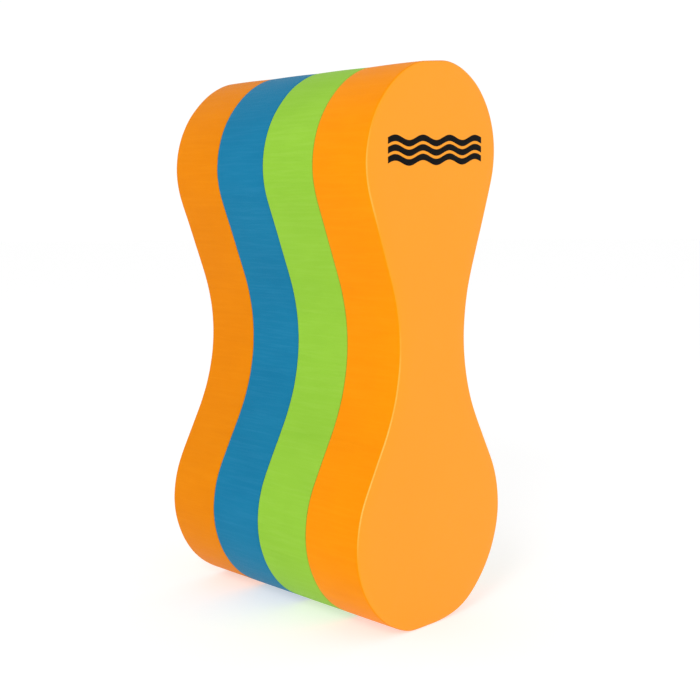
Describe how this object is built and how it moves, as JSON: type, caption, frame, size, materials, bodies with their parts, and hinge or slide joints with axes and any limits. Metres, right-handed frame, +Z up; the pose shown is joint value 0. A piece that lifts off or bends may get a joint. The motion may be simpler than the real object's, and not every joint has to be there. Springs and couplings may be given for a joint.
{
  "type": "pull buoy",
  "caption": "Figure-eight foam float of glued flat slabs in contrasting colours, narrowed at the waist to be held between a swimmer's thighs.",
  "frame": {"origin": "centre of the flat end of the larger lobe, on which the buoy stands", "axes": "+Z up along the figure eight towards the smaller lobe; +X across its width, to the right seen from the front; +Y through the stack, from the printed front face to the plain rear face"},
  "size_m": [0.0888, 0.1201, 0.231],
  "materials": {
    "end_foam": "satin closed-cell foam",
    "front_middle_foam": "satin closed-cell foam",
    "rear_middle_foam": "satin closed-cell foam",
    "glue": "dull dried adhesive",
    "print_ink": "satin ink"
  },
  "bodies": {
    "root": {"front_end_slab": "end_foam", "front_middle_slab": "front_middle_foam", "rear_middle_slab": "rear_middle_foam", "rear_end_slab": "end_foam", "front_glue_film": "glue", "middle_glue_film": "glue", "rear_glue_film": "glue", "printed_mark": "print_ink"}
  },
  "joints": []
}
